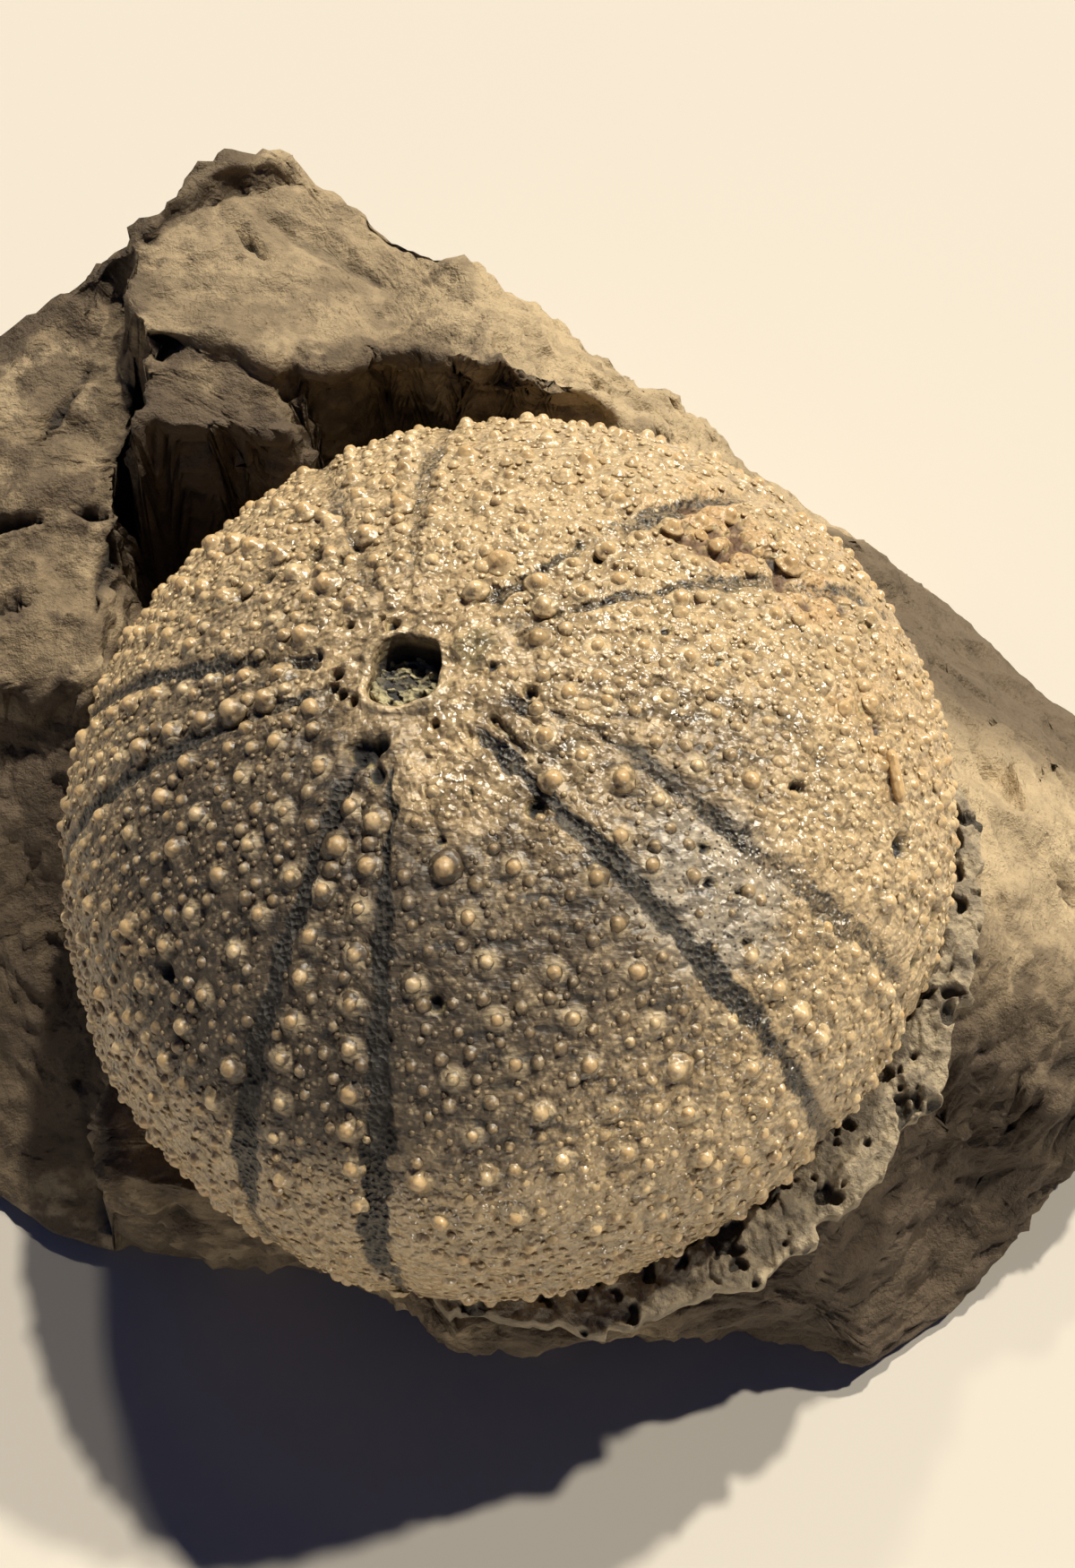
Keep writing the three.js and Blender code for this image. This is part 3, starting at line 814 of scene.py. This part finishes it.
# the rim of the top and the foot on the table, seen from above
rimOutline = np.array([
    (50, 4), (51, 13), (46.8, 22), (44, 26), (36.9, 29.6), (33.3, 37), (28, 39.4), (19.2, 39.2), (12.4, 42.2),
    (9.5, 43), (5.7, 44.1), (3.3, 45.6), (0.8, 46.9), (-1.6, 46.4), (-4.5, 45.9), (-7.6, 48.7), (-11.4, 52.6),
    (-15, 54.7), (-16.7, 56.8), (-18.8, 56.4), (-21.3, 55.2), (-23.9, 53.3), (-27.1, 49.8), (-30.9, 47.3),
    (-37.1, 45.3), (-39.8, 44.6),
    (-46, 38), (-50, 25), (-47, 8), (-43, -4), (-37.5, -14), (-31, -18.5), (-15, -22), (-7, -27), (-3, -30),
    (3, -30), (9, -29.5), (15.5, -28), (20.5, -27.6), (26, -28), (32.5, -23), (43, -13), (47.5, -5),
], float)
baseOutline = np.array([
    (53, 8), (50, 26), (38, 40), (20, 48), (0, 52), (-21, 66), (-34, 59), (-48, 44), (-54, 24), (-50, 4),
    (-38, -13.5), (-32, -17.5), (-24, -19.8), (-15, -20.5), (3, -24.5), (15, -24.7), (25.5, -27.2), (31.5, -24),
    (43.5, -12),
], float)


def outlineReach(outline, angle):
    # how far the outline lies from the block's middle: the ray's cut with each straight edge
    ray = rays(angle)[:, None]
    start = outline - np.array(block["middle"])
    edge = np.roll(start, -1, axis=0) - start
    cross = ray[..., 0] * edge[:, 1] - ray[..., 1] * edge[:, 0]
    alongRay = (start[:, 0] * edge[:, 1] - start[:, 1] * edge[:, 0]) / cross
    alongEdge = (start[:, 0] * ray[..., 1] - start[:, 1] * ray[..., 0]) / cross
    hit = (alongRay > 0) & (alongEdge >= -1e-6) & (alongEdge <= 1 + 1e-6)
    return np.where(hit, alongRay, 0).max(1)


def facetHeight(name, x, y):
    # a tilted plane through the facet's place
    facet = block[name]
    return facet["z"] - facet["fallX"] * (x - facet["x"]) - facet["fallY"] * (y - facet["y"])


def alongLine(name, at):
    # straight stretches between the line's points
    return np.interp(at, *zip(*block[name]))


def blockTop(x, y):
    # facets joined by the cliff behind the test, the shelf on the left, and the broken front on the right
    flat = np.stack([x, y, np.zeros_like(x)], -1)
    jagged = 0.8 * brokenNoise(flat, 4.5, 55)
    x = x + 0.8 * softNoise(flat, 7, 51) + 0.3 * softNoise(flat, 2, 52) + jagged
    y = y + 0.8 * softNoise(flat, 7, 53) + 0.3 * softNoise(flat, 2, 54) + jagged
    on = {name: facetHeight(name, x, y) for name in
          ("slab", "ridge", "peak", "back", "side", "shelf", "shelfBack", "step", "leftFloor")}
    slope = np.minimum(on["back"], on["side"])
    ahead = alongLine("frontRidge", x) - y
    crest = np.minimum(facetHeight("side", x, alongLine("frontRidge", x)), 27)
    right = np.where(ahead > 0, crest * alongLine("frontFall", ahead), slope)
    high = np.minimum.reduce([np.maximum(on["slab"], on["ridge"]), on["peak"], on["back"]])
    shelf = np.minimum(on["shelf"], on["shelfBack"])
    left = blend(on["leftFloor"], shelf, ease(block["shelfFront"] - 1.6, block["shelfFront"], y))
    seat = blend(np.minimum(right, block["seatInFront"]), block["seatBehind"], ease(-6, 10, y))
    edge = alongLine("slabEdge", x)
    onStep = ease(-0.8, 0.6, y - 30.6) * ease(-28.3, -27, x) * fade(-16.5, -14.5, x + 0.4 * (y - 33))
    foot = blend(seat + 3.5 * ease(edge - 7, edge - 2.5, y), on["step"], onStep)
    behind = blend(foot, high, ease(edge - 1.7, edge, y))
    side = alongLine("slabSide", y)
    middle = blend(left, behind, ease(side - 1.0, side + 0.6, x))
    height = blend(middle, np.maximum(right, np.minimum(behind, on["back"])), ease(16, 24, x))
    # a raised crest along the back on the left, its steep side towards the slab
    foot = alongLine("crestFoot", flat[..., 0]) + 0.5 * brokenNoise(flat, 3, 56)
    onCrest = ease(foot, foot + 1.0, flat[..., 1]) * ease(-43, -40, flat[..., 0]) * fade(-17, -15.5, flat[..., 0])
    crestTop = alongLine("crestTop", flat[..., 0]) + 0.8 * brokenNoise(flat, 4, 57)
    height = blend(height, np.maximum(height, crestTop), onCrest)
    return np.maximum(block["lowestRim"], height)


def underTest(x, y, gap):
    # height of the test's lower skin over a point of the table, found by halving; high beside the test
    def outside(z):
        local = np.stack([x, y, z], -1) - test["centre"]
        across = np.hypot(local @ sideAxis, local @ awayAxis) / (test["radius"] + gap)
        up = local @ leanAxis
        tall = np.where(up >= 0, test["crown"], test["under"]) + gap
        power = np.where(up >= 0, 2, test["underFullness"])
        return across**power + (np.abs(up) / tall) ** power - 1
    inner = test["centre"][2] - (leanAxis[0] * x + leanAxis[1] * y) / leanAxis[2]
    over = outside(inner) < 0
    outer = inner - 24
    for _ in range(22):
        half = (inner + outer) / 2
        isOut = outside(half) > 0
        outer, inner = np.where(isOut, half, outer), np.where(isOut, inner, half)
    return np.where(over, outer, 99.0)


def evenShares(flat, height, shares, rows):
    # re-spaces the rows of every column evenly along its slope, sparingly where the test covers the block
    run = np.linalg.norm(np.diff(flat, axis=0), axis=-1)
    hidden = blend(0.2, 1, ease(24, 30, np.hypot(flat[1:, :, 0], flat[1:, :, 1])))
    steps = hidden * np.hypot(run, np.diff(height, axis=0))
    length = np.concatenate([np.zeros((1, run.shape[1])), np.cumsum(steps, 0)])
    length = length / length[-1] + np.arange(run.shape[1])  # one rising line through all the columns
    wanted = np.linspace(0, 1, rows)[:, None] * 0.999999 + np.arange(run.shape[1])
    found = np.interp(wanted.T.ravel(), length.T.ravel(), np.tile(shares, run.shape[1])).reshape(-1, rows).T
    return sum(np.roll(found, shift, axis=1) for shift in range(-3, 4)) / 7


def buildBlock(finish):
    # rings from the middle of the top to the rim, down the wall and in under the base
    columns = block["columns"]
    angle = fullTurn(columns)
    ray = rays(angle)
    rimReach, baseReach = outlineReach(rimOutline, angle), outlineReach(baseOutline, angle)
    middle = np.array(block["middle"], float)
    shares = np.linspace(0.04, 1, 480)
    flat = middle + ray * (shares[:, None] * rimReach)[..., None]
    height = blockTop(flat[..., 0], flat[..., 1])
    flat = middle + ray * (evenShares(flat, height, shares, 156) * rimReach)[..., None]
    height = np.minimum(blockTop(flat[..., 0], flat[..., 1]), underTest(flat[..., 0], flat[..., 1], 0.2))
    top = np.concatenate([flat, height[..., None]], -1)
    # broken edges lean out over the recess: the slab's, and the shelf's on the left
    nearEdge = fade(2, 9, np.abs(flat[..., 1] - alongLine("slabEdge", flat[..., 0])))
    nearEdge = nearEdge * ease(-17, -12, flat[..., 0]) * fade(-2, 9, flat[..., 0])
    top[..., 1] -= 2.2 * ease(33.8, 35.6, height) * nearEdge
    shelfMask = ease(13, 24, height) * fade(-31, -27, flat[..., 0])
    top[..., 1] -= 1.6 * shelfMask * fade(1, 7, np.abs(flat[..., 1] - block["shelfFront"]))

    down = np.linspace(0, 1, 36)[1:, None]
    reach = blend(rimReach, baseReach, down) + 1.2 * np.sin(np.pi * down)
    wallFlat = middle + ray * reach[..., None]
    wall = np.concatenate([wallFlat, (height[-1] * (1 - down))[..., None]], -1)
    grid = np.concatenate([top, wall])
    normals = gridNormals(grid)
    steep = 1 - normals[..., 2] ** 2
    x, y, z = grid[..., 0], grid[..., 1], grid[..., 2]
    calm = ease(14, 26, x) * ease(-9, 0, y)
    bedded = grid @ np.array([[1, 0, 0.25], [0, 1, 0.15], [0, 0, 1.9]])
    lift = 0.8 * brokenNoise(bedded, 7.5, 67) + 0.5 * brokenNoise(bedded, 3.4, 68)
    lift = (lift + 0.24 * brokenNoise(grid, 1.6, 69)) * (0.35 + 0.65 * steep)
    lift = lift + 0.6 * layeredNoise(grid, 7, 2, 61) + 0.3 * layeredNoise(grid, 1.5, 3, 64, 0.62)
    beds = np.abs((z + 0.3 * x * calm + 1.2 * softNoise(grid, 11, 71)) / 2.6 % 1 - 0.5) * 2
    lift = (lift - 0.4 * steep * fade(0.0, 0.3, beds)) * blend(1, 0.5, calm)
    dent = np.zeros_like(x)
    for atX, atY, longHalf, wideHalf, turn, depth in block["dents"]:
        spin = np.radians(turn)
        along = ((x - atX) * np.cos(spin) + (y - atY) * np.sin(spin)) / longHalf
        across = ((y - atY) * np.cos(spin) - (x - atX) * np.sin(spin)) / wideHalf
        inside = fade(0.35, 1.1, np.abs(along) + np.abs(across) + 0.25 * softNoise(grid, 1.5, 72))
        dent = np.maximum(dent, inside * depth)
    under = ease(0.0, 3.0, z)
    grid = grid + normals * ((lift - dent) * under)[..., None]
    grid[..., 2] = np.maximum(grid[..., 2], 0)
    # where the stone is pale; where it is dark, which is partly darker brown stone and partly painted shade; and
    # painted shade in its cracks, dents and low places
    pastEdge = y - alongLine("slabEdge", x)
    pale = calm + ease(-27, -24, x) * ease(-1, 1, pastEdge) * (0.55 + 0.45 * ease(-8, 2, x))
    # painted shade where shade falls: the lower right facet, the cliff under the slab's edge, the low ledge on the
    # left and the foot of the crest; on the lower right also darker brown stone
    dark = ease(-2, 6, alongLine("frontRidge", x) - y) * ease(8, 18, x)
    dark += ease(1, 5, -pastEdge) * ease(-30, -27, x) * ease(8, 20, y)
    dark += 0.95 * ease(-2, 2, 13.5 - y) * ease(-26, -28, x) * ease(-16, -12, y)
    dark += 0.9 * ease(-0.8, 0.8, y - alongLine("crestFoot", x)) * fade(-20.5, -18, x) * ease(34, 37, y)
    # painted shade: darker in the dents, where the relief is low, and along the bedding seams on steep faces
    creviceShade = dent * 0.7 - 0.4 * lift + 0.3 * fade(0, 0.35, beds) * steep
    floor = np.zeros((2, columns, 3))
    floor[..., :2] = middle + (grid[-1, :, :2] - middle) * np.array([0.66, 0.33])[:, None, None]
    rings = np.concatenate([grid, floor])
    marks = {name: closed(0, np.concatenate([np.clip(values, 0, 1), np.zeros((2, columns))]), 0)
             for name, values in (("tan", pale), ("umberAndShade", dark), ("hollow", creviceShade))}
    seat = underTest(middle[:1], middle[1:], 0.2)[0]
    points = closed([*middle, seat], rings, [*middle, 0.0])
    faceSets = ringFaces(len(rings), columns)
    return makePiece("matrix_block", points, faceSets, finish, "matrix_rock", marks)


collar = {
    "from": -107, "to": 16, "steps": 620,  # degrees round the axis, and sections on the way
    # by degrees round the axis: how far below the ambitus it starts, and how far out it reaches
    "drop": [(-107, 8.5), (-95, 7), (-75, 6.5), (-60, 7), (-40, 7.6), (-15, 4.6), (0, 3.4), (16, 4.5)],
    "outer": [(-107, 26.5), (-99, 29.2), (-88, 31.2), (-75, 32.6), (-60, 33.4), (-40, 34), (-20, 33.6),
              (0, 32.4), (16, 30)],
    "thin": 1.1,  # thickness of the broken edge
    "thick": 8,  # thickness where it meets the test
}


def buildCollar(finish):
    # a closed section carried round the test: out along the pitted top, over the thin edge and back under
    steps = collar["steps"]
    part = np.linspace(0, 1, steps)
    degrees = blend(collar["from"], collar["to"], part)
    turn = np.radians(degrees)
    ray = np.stack([np.cos(turn), np.sin(turn), np.zeros(steps)], -1)
    line = ray * 33
    ragged = 0.7 * softNoise(line, 3.2, 81) + 0.4 * softNoise(line, 1.1, 82) + 0.9 * brokenNoise(line, 3.6, 83)
    outer = np.interp(degrees, *zip(*collar["outer"])) + ragged
    drop = np.interp(degrees, *zip(*collar["drop"])) + 0.5 * softNoise(line, 4, 84)
    topHeight = test["centre"][2] - (ray @ leanAxis) * 31 / leanAxis[2] - drop
    power = test["underFullness"]
    inner = test["radius"] * (1 - (drop / test["under"]) ** power) ** (1 / power) - 0.8
    ends = ease(0, 0.1, part) * fade(0.9, 1, part)
    outer = np.maximum(outer * blend(0.93, 1, ends), inner + 0.4)
    share = np.concatenate([np.linspace(0, 1, 52), np.linspace(1, 0, 30)])[:, None]
    under = np.concatenate([np.zeros(52), np.ones(30)])[:, None]
    reach = blend(inner, outer, share)
    thickness = blend(collar["thick"], collar["thin"], share**0.8) * blend(0.4, 1, ends)
    height = topHeight - 0.9 * share**1.5 - under * thickness
    grid = np.stack([reach * ray[:, 0], reach * ray[:, 1], height], -1)
    crags = 0.6 * brokenNoise(grid, 2.4, 86) + 0.35 * brokenNoise(grid, 1.1, 87)
    crags += 0.4 * layeredNoise(grid, 1.3, 3, 88, 0.65)
    holes = ease(0.14, 0.4, softNoise(grid, 1.1, 85) + 0.4 * softNoise(grid, 0.5, 89) + 0.3 * (1 - share) - 0.2)
    grid[..., 2] += ((0.6 * crags - 0.9 * holes) * (1 - under) * ease(0, 0.06, share) + 0.2 * crags * under) * ends
    marks = {"edge": ease(0.86, 1.0, share) * (1 - under) + 0 * height,
             # hollow: where the holes sink the top, for the painted shade in them
             "hollow": np.clip(holes - 0.3 * crags, 0, 1) * (1 - under)}
    # turn the grid so that each ring is one section, and close it with a pole at both ends
    rings = np.swapaxes(grid, 0, 1)
    points = closed(rings[0].mean(0), rings, rings[-1].mean(0))
    marks = {name: closed(0, values.T, 0) for name, values in marks.items()}
    faceSets = [faces[:, ::-1] for faces in ringFaces(steps, len(share))]
    return makePiece("matrix_collar", points, faceSets, finish, "matrix_rock", marks)


stone = {
    "dull": colour(0.105, 0.074, 0.042),
    "pale": colour(0.235, 0.172, 0.098),
    "tan": colour(0.49, 0.375, 0.22),
    # dark brown, used for the bedding and patches and for painted shade
    "umberAndShade": colour(0.07, 0.046, 0.026),
    "crack": colour(0.012, 0.009, 0.006),
    "collar": colour(0.17, 0.135, 0.088),
    "collarPale": colour(0.36, 0.29, 0.185),
}


def rockFinish():
    # brown limestone, paler and smoother on the slopes, with dark flecks, seams and faint bedding; painted shade
    # in its dents and low places and where shade falls on the block
    f = Finish("matrix_stone")
    tan, umberAndShade, hollow = f.mark("tan"), f.mark("umberAndShade"), f.mark("hollow")
    cloud = f.noise(7, 5, 0.62)
    grain = f.noise(1.3, 6, 0.68)
    fleck = f.noise(0.3, 3, 0.6)
    bedding = f.noise(3.0, 5, 0.62, f.stretched((0.22, 0.35, 1.7), (0.12, -0.28, 0.5)))
    patches = f.between(f.noise(3.2, 3, 0.5, f.stretched((1, 1, 0.6), (0.2, 0.4, 0.3))), 0.5, 0.6)
    lightPatches = f.between(f.noise(4.5, 4, 0.6, f.stretched((1, 1, 1.4), (0.5, 0.1, 0.2))), 0.54, 0.66)
    base = f.layers(stone["dull"], stone, [
        (f.between(cloud * 0.75 + grain * 0.35, 0.42, 0.66), "pale"),
        (tan * (0.55 + 0.45 * f.between(cloud * 0.7 + grain * 0.4, 0.35, 0.6)), "tan"),
        (f.between(bedding, 0.5, 0.68) * (0.6 - tan * 0.4), "umberAndShade"),
        (patches * f.between(cloud, 0.35, 0.6) * (0.75 - tan * 0.45), "umberAndShade"),
        (lightPatches * (0.55 - tan * 0.3), "tan"),
        # painted shade, partly darker brown stone, wherever the mark is laid
        (umberAndShade * 0.82, "umberAndShade"),
        (f.between(fleck + grain * 0.4, 0.8, 0.95) * 0.6, "crack"),
        # painted shade: near black in the dents and low places
        (f.between(hollow, 0.15, 0.9) * 0.85, "crack"),
    ])
    height = grain * 0.7 + fleck * 0.1 + bedding * 0.7 + f.facets(2.2, 0.5)
    return f.finished({"Base Color": base, "Roughness": 0.68 + grain * 0.2, "Normal": f.bump(height)})


def collarFinish():
    # grey pitted crust with a paler broken edge, and painted shade in its pits
    f = Finish("matrix_crust")
    edge, hollow = f.mark("edge"), f.mark("hollow")
    cloud = f.noise(2.2, 4, 0.6)
    grain = f.noise(0.45, 4, 0.65)
    base = f.layers(stone["collar"], stone, [
        (f.between(cloud + (grain - 0.5) * 0.6, 0.38, 0.66), "collarPale"),
        (edge * 0.6, "collarPale"),
        # painted shade: near black in the pits
        (f.between(hollow, 0.15, 0.8) * 0.85, "crack"),
    ])
    return f.finished({"Base Color": base, "Roughness": 0.5 + grain * 0.3, "Normal": f.bump(grain * 0.3)})


fill = {
    "columns": 220,
    "rings": 70,
    "reach": 0.93,  # share of the vent's width
    "middle": 21.0,  # height above the ambitus at the axis
    "highest": 22.15,
    "fallX": 0.34,
    "fallY": 0.5,
    "lumps": 0.34,
    "chips": 0.35,
    "grey": colour(0.045, 0.038, 0.028),
    "silt": colour(0.46, 0.40, 0.22),
    "black": colour(0.03, 0.028, 0.026),
    "shade": colour(0.03, 0.028, 0.03),
}


def buildFill(finish):
    # a tilted plane cut off at a highest level, with lumps and chips: higher towards the front left
    columns = fill["columns"]
    angle = fullTurn(columns)
    share = np.linspace(0.02, 1, fill["rings"])[:, None]
    reach = share * ventOutline(angle) * fill["reach"]
    x, y = reach * np.cos(angle), reach * np.sin(angle)
    height = np.minimum(fill["middle"] - fill["fallX"] * x - fill["fallY"] * y, fill["highest"])
    top = fromTestFrame(x, y, height - 0.25 * share**6)
    chips = chipNoise(top, 0.55, 92)[2]
    lift = fill["lumps"] * layeredNoise(top, 0.9, 3, 91, 0.65) + fill["chips"] * (chips - 0.5)
    top = top + lift[..., None] * leanAxis
    low = top[-1] - np.linspace(0.3, 1.0, 4)[:, None, None] * leanAxis
    rings = np.concatenate([top, low])
    points = closed(top[0].mean(0), rings, low[-1].mean(0))
    side = np.ones((4, columns))
    marks = {"crumb": closed(0.5, np.concatenate([chips, 0.4 * side]), 0.4),
             "lift": closed(0, np.concatenate([lift, -0.3 * side]), -0.3)}
    faceSets = ringFaces(len(rings), columns)
    return makePiece("vent_fill", points, faceSets, finish, "vent_sediment", marks)


def fillFinish():
    # hard grey silt with pale and black grains
    f = Finish("vent_silt")
    crumb, lift = f.mark("crumb"), f.mark("lift")
    grain = f.noise(0.3, 4, 0.7)
    cells = f.cells(0.35, output="Color")
    base = f.mix(f.between(crumb + (grain - 0.5), 0.2, 0.9), fill["grey"], fill["silt"])
    base = f.mix(f.between(grain, 0.55, 0.68) * 0.7, base, fill["black"])
    base = f.mix(f.between(lift, -0.35, 0.1), fill["shade"], base)
    return f.finished({"Base Color": base, "Roughness": 0.6, "Normal": f.bump(grain * 0.25 + cells * 0.1)})


# both ends in degrees from the crown and round the axis, then millimetres
spine = {"from": (62.5, -5.2), "to": (66, -11.5), "middle": (64, -8), "radius": 0.36, "lift": 0.42,
         "rings": 40, "sides": 24}


def buildSpine(finish):
    # a short rod with blunt ends, lying on the skin: a fluted circle carried along a straight line
    start, end = (testPoints(*np.radians(spine[name])) for name in ("from", "to"))
    normal = testNormals(*np.radians(spine["middle"]))
    along = unit(end - start)
    side = unit(np.cross(along, normal))
    up = np.cross(side, along)
    share = np.linspace(0, 1, spine["rings"])[:, None]
    turn = fullTurn(spine["sides"])
    radius = spine["radius"] * (1 - (2 * share - 1) ** 8 * 0.75) * (1 + 0.07 * np.cos(6 * turn))
    centre = start + (end - start) * share[..., None] + normal * spine["lift"]
    rings = centre + (radius * np.cos(turn))[..., None] * side + (radius * np.sin(turn))[..., None] * up
    points = closed(rings[0].mean(0), rings, rings[-1].mean(0))
    flatMarks = {"tone": 0.5, "top": 1, "fair": 1, "stain": 0.25, "pale": 1}
    marks = {name: np.full(len(points), value) for name, value in flatMarks.items()}
    faceSets = [faces[:, ::-1] for faces in ringFaces(spine["rings"], spine["sides"])]
    return makePiece("spine_fragment", points, faceSets, finish, "sea_urchin_test", marks)


laid = layKnobs()
print("knobs laid:", [len(places) for places in laid])
creamFinish = knobFinish()
buildTest(laid[0], calciteFinish())
for kind, places in zip(("main", "second", "grain"), laid):
    knobMesh(kind + "_knobs", places, knobs[kind], creamFinish)
buildFill(fillFinish())
buildSpine(creamFinish)
buildBlock(rockFinish())
buildCollar(collarFinish())


studio = {
    "floor": colour(0.52, 0.485, 0.425),
    "warm": (1.0, 0.93, 0.80),
    # direction towards each lamp, strength, and width in degrees, which softens the shadow's edge
    "lamps": [
        ((0.20, 0.44, 0.876), 3.25, 2.5),
        ((0.52, 0.30, 0.80), 2.65, 2.5),
        ((-0.02, 0.62, 0.78), 0.72, 3.5),
        ((0.35, -0.93, 0.025), 0.8, 8),
        ((-0.72, -0.68, 0.025), 0.2, 8),
    ],
    "sky": colour(0.06, 0.25, 1.0),
    "skyStrength": 0.07,
}


def addFloor():
    # a flat sheet, four metres square, at the height of the table
    mesh = bpy.data.meshes.new("floor")
    mesh.from_pydata([(-2, -2, 0), (2, -2, 0), (2, 2, 0), (-2, 2, 0)], [], [(0, 1, 2, 3)])
    floor = bpy.data.objects.new("floor", mesh)
    bpy.context.scene.collection.objects.link(floor)
    f = Finish("floor_paper")
    mesh.materials.append(f.finished({"Base Color": studio["floor"], "Roughness": 0.9}))


def addLamp(towards, strength, width):
    # a distant lamp that shines from this direction
    light = bpy.data.lights.new("lamp", "SUN")
    light.energy = strength
    light.color = studio["warm"]
    light.angle = np.radians(width)
    lamp = bpy.data.objects.new("lamp", light)
    lamp.rotation_euler = Vector(towards).to_track_quat("Z", "Y").to_euler()
    bpy.context.scene.collection.objects.link(lamp)


def addSky():
    # an even blue light from all round, which tints the shadows
    world = bpy.data.worlds.new("studio")
    world.use_nodes = True
    world.node_tree.nodes["Background"].inputs["Color"].default_value = studio["sky"]
    world.node_tree.nodes["Background"].inputs["Strength"].default_value = studio["skyStrength"]
    bpy.context.scene.world = world


# aim and distance in millimetres, elevation in degrees, lens as on a full-frame camera
view = {"aim": (2.64, 3.09, 29.0), "elevation": 57.0, "distance": 155.0, "lens": 51.81}


def addCamera():
    # looks along +Y and down at the aim, from the given distance
    rise = np.radians(view["elevation"])
    back = Vector((0, -np.cos(rise), np.sin(rise)))
    data = bpy.data.cameras.new("camera")
    data.lens = view["lens"]
    data.clip_start = 0.005
    camera = bpy.data.objects.new("camera", data)
    camera.location = (Vector(view["aim"]) + back * view["distance"]) * millimetre
    camera.rotation_euler = back.to_track_quat("Z", "Y").to_euler()
    bpy.context.scene.collection.objects.link(camera)
    bpy.context.scene.camera = camera


addFloor()
for towards, strength, width in studio["lamps"]:
    addLamp(towards, strength, width)
addSky()
addCamera()
bpy.context.scene.view_settings.view_transform = "Standard"
print("stage, lights and camera are in place")
